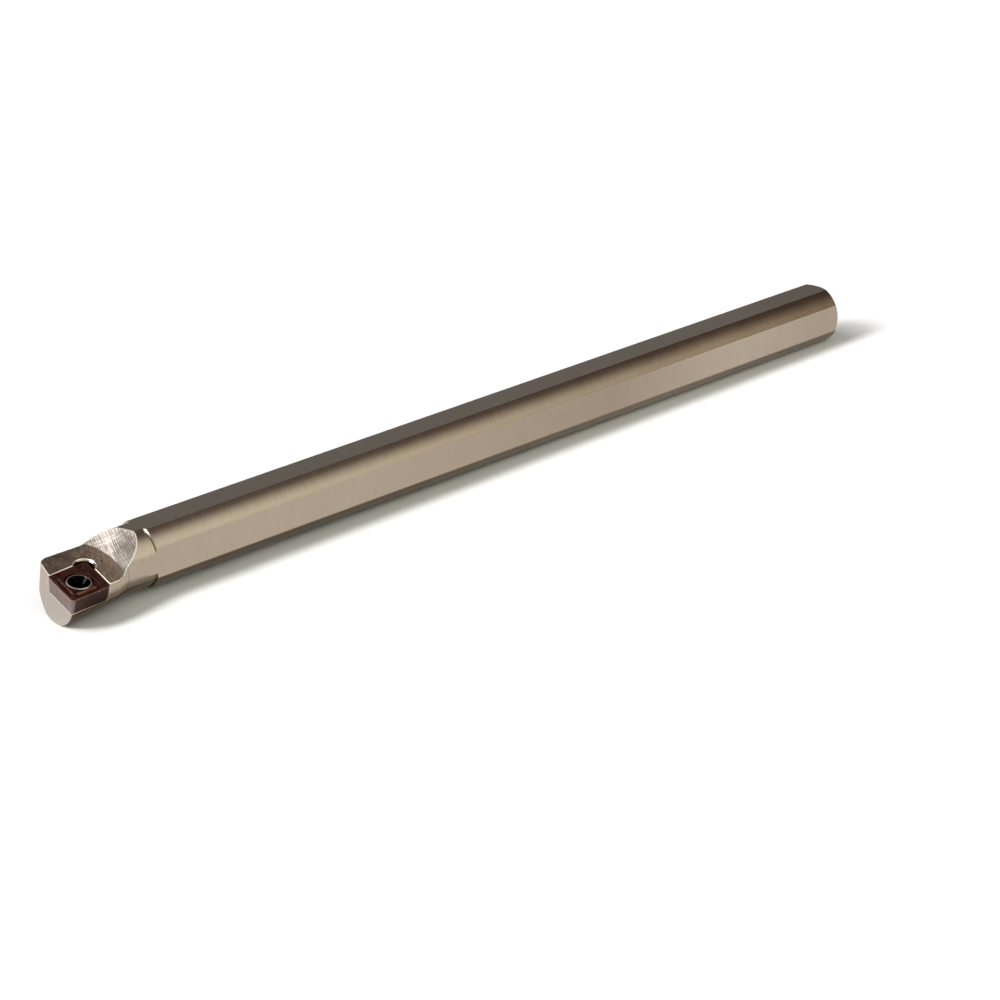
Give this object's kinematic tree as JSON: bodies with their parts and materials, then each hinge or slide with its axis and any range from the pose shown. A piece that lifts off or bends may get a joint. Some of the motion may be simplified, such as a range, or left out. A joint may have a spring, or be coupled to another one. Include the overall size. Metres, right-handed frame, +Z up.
{
  "type": "indexable boring bar",
  "caption": "Round-shank indexable boring bar with clamping flats, an off-centre head and a screw-down rhombic insert.",
  "frame": {"origin": "centre of the tail's end face, on the shank's axis", "axes": "+X along the shank from the cutting head to the tail, +Z up from the rake face and the top flat, -Y towards the cutting side"},
  "size_m": [0.1524, 0.0112, 0.0094],
  "materials": {
    "bar_steel": "satin, warm nickel tone",
    "coated_carbide": "satin red-brown coating",
    "screw_steel": "dark oiled steel"
  },
  "bodies": {
    "root": {"bar": "bar_steel", "insert": "coated_carbide", "clamp_screw": "screw_steel"}
  },
  "joints": []
}
